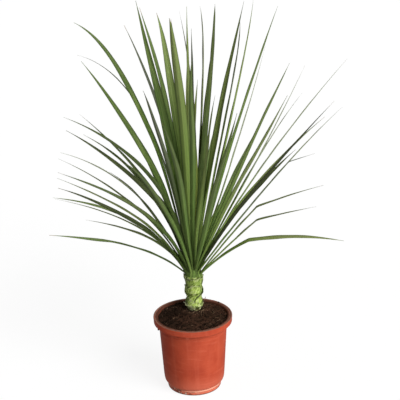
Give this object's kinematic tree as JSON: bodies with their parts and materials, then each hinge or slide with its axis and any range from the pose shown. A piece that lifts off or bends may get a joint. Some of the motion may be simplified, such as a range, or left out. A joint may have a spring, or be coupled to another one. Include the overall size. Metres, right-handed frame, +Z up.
{
  "type": "potted cordyline",
  "caption": "Green cordyline with a head of long, narrow sword leaves on a short stem clothed in leaf bases, growing in soil in a tapered plastic nursery pot with a hanging rim.",
  "frame": {"origin": "middle of the pot's underside, on the surface that the pot stands on", "axes": "+Z up, along the pot's own axis and the longest extent; the front of the plant, as pictured, faces -Y"},
  "size_m": [0.6116, 0.7111, 0.84],
  "materials": {
    "pot_plastic": "terracotta-coloured injection-moulded plastic, satin, a little scuffed",
    "potting_mix": "dark brown crumbly peat mix, matt",
    "stem_bases": "pale yellow-green clasping leaf bases with dry cream edges",
    "leaf_green": "smooth leathery mid-green blade with fine lengthwise veins, satin",
    "heart_green": "smooth lighter green young blade, satin"
  },
  "bodies": {
    "root": {"pot": "pot_plastic", "soil": "potting_mix", "stem": "stem_bases", "leaf_head": "leaf_green", "heart_leaves": "heart_green"}
  },
  "joints": []
}
